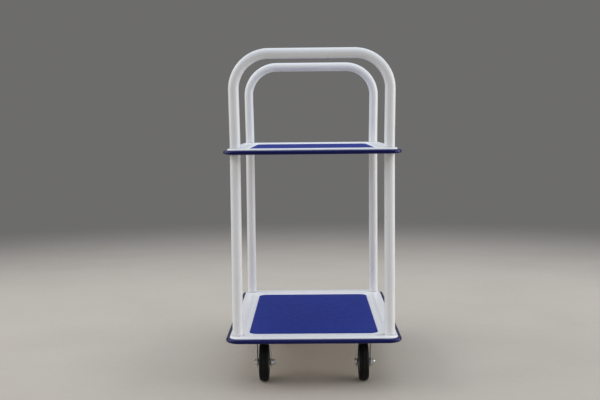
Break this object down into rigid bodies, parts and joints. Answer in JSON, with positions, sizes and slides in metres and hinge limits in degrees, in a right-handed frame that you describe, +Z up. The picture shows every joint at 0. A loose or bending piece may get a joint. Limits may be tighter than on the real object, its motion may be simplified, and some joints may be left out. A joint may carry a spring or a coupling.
{
  "type": "platform trolley",
  "caption": "Platform trolley with a raised shelf above its deck, vinyl mats, edge bumpers, bent tube handles at both ends, and rigid and swivel plate castors.",
  "frame": {"origin": "on the floor, under the middle of the decks", "axes": "+Z up; +Y towards the rear end with the swivel castors; +X to the right, seen from the front end"},
  "size_m": [0.48, 0.74, 0.9257],
  "materials": {
    "white_paint": "gloss powder coat with faint orange peel",
    "mat_vinyl": "satin, fine leather grain",
    "bumper_pvc": "glossy extruded PVC",
    "tyre_rubber": "matt moulded rubber",
    "hub_plastic": "moulded grey plastic",
    "bush_nylon": "natural nylon",
    "zinc_pressing": "bright zinc plate on pressed steel",
    "zinc_fastener": "zinc plated",
    "bearing_steel": "ground and polished"
  },
  "bodies": {
    "frame": {"caster_bolts": "zinc_fastener", "caster_nuts": "zinc_fastener", "foot_socket_front_left": "white_paint", "foot_socket_front_right": "white_paint", "foot_socket_rear_left": "white_paint", "foot_socket_rear_right": "white_paint", "front_axle_bolts": "zinc_fastener", "front_axle_nuts": "zinc_fastener", "front_axle_sleeves": "zinc_fastener", "front_caster_channel": "white_paint", "front_handle_tube": "white_paint", "front_left_rigid_fork": "zinc_pressing", "front_right_rigid_fork": "zinc_pressing", "handle_foot_bolts": "zinc_fastener", "handle_foot_plugs": "zinc_fastener", "handle_foot_washers": "zinc_fastener", "lower_deck_bumper": "bumper_pvc", "lower_deck_mat": "mat_vinyl", "lower_deck_pan": "white_paint", "lower_deck_spine": "white_paint", "rear_caster_channel": "white_paint", "rear_handle_tube": "white_paint", "rear_left_king_pin": "zinc_pressing", "rear_left_lower_race": "zinc_pressing", "rear_left_swivel_plate": "zinc_pressing", "rear_right_king_pin": "zinc_pressing", "rear_right_lower_race": "zinc_pressing", "rear_right_swivel_plate": "zinc_pressing", "shelf_collar_front_left": "white_paint", "shelf_collar_front_right": "white_paint", "shelf_collar_rear_left": "white_paint", "shelf_collar_rear_right": "white_paint", "shelf_collar_screws": "zinc_fastener", "swivel_lower_balls": "bearing_steel", "swivel_upper_balls": "bearing_steel", "upper_shelf_bumper": "bumper_pvc", "upper_shelf_front_stiffener": "white_paint", "upper_shelf_mat": "mat_vinyl", "upper_shelf_pan": "white_paint", "upper_shelf_rear_stiffener": "white_paint"},
    "front_left_wheel": {"front_left_tyre": "tyre_rubber", "front_left_hub": "hub_plastic", "front_left_bush": "bush_nylon"},
    "front_right_wheel": {"front_right_tyre": "tyre_rubber", "front_right_hub": "hub_plastic", "front_right_bush": "bush_nylon"},
    "rear_left_castor": {"rear_left_swivel_fork": "zinc_pressing", "rear_left_axle_bolt": "zinc_fastener", "rear_left_axle_nut": "zinc_fastener", "rear_left_axle_sleeve": "zinc_fastener"},
    "rear_left_wheel": {"rear_left_tyre": "tyre_rubber", "rear_left_hub": "hub_plastic", "rear_left_bush": "bush_nylon"},
    "rear_right_castor": {"rear_right_swivel_fork": "zinc_pressing", "rear_right_axle_bolt": "zinc_fastener", "rear_right_axle_nut": "zinc_fastener", "rear_right_axle_sleeve": "zinc_fastener"},
    "rear_right_wheel": {"rear_right_tyre": "tyre_rubber", "rear_right_hub": "hub_plastic", "rear_right_bush": "bush_nylon"}
  },
  "joints": [
    {"name": "front_left_wheel_spin", "type": "hinge", "parent": "frame", "child": "front_left_wheel", "pos_m": [-0.14, -0.245, 0.0535], "axis": [1, 0, 0], "continuous": true},
    {"name": "front_right_wheel_spin", "type": "hinge", "parent": "frame", "child": "front_right_wheel", "pos_m": [0.14, -0.245, 0.0535], "axis": [1, 0, 0], "continuous": true},
    {"name": "rear_left_swivel", "type": "hinge", "parent": "frame", "child": "rear_left_castor", "pos_m": [-0.14, 0.235, 0.12], "axis": [0, 0, 1], "continuous": true},
    {"name": "rear_left_wheel_spin", "type": "hinge", "parent": "rear_left_castor", "child": "rear_left_wheel", "pos_m": [-0.14, 0.268, 0.0535], "axis": [1, 0, 0], "continuous": true},
    {"name": "rear_right_swivel", "type": "hinge", "parent": "frame", "child": "rear_right_castor", "pos_m": [0.14, 0.235, 0.12], "axis": [0, 0, 1], "continuous": true},
    {"name": "rear_right_wheel_spin", "type": "hinge", "parent": "rear_right_castor", "child": "rear_right_wheel", "pos_m": [0.14, 0.268, 0.0535], "axis": [1, 0, 0], "continuous": true}
  ]
}
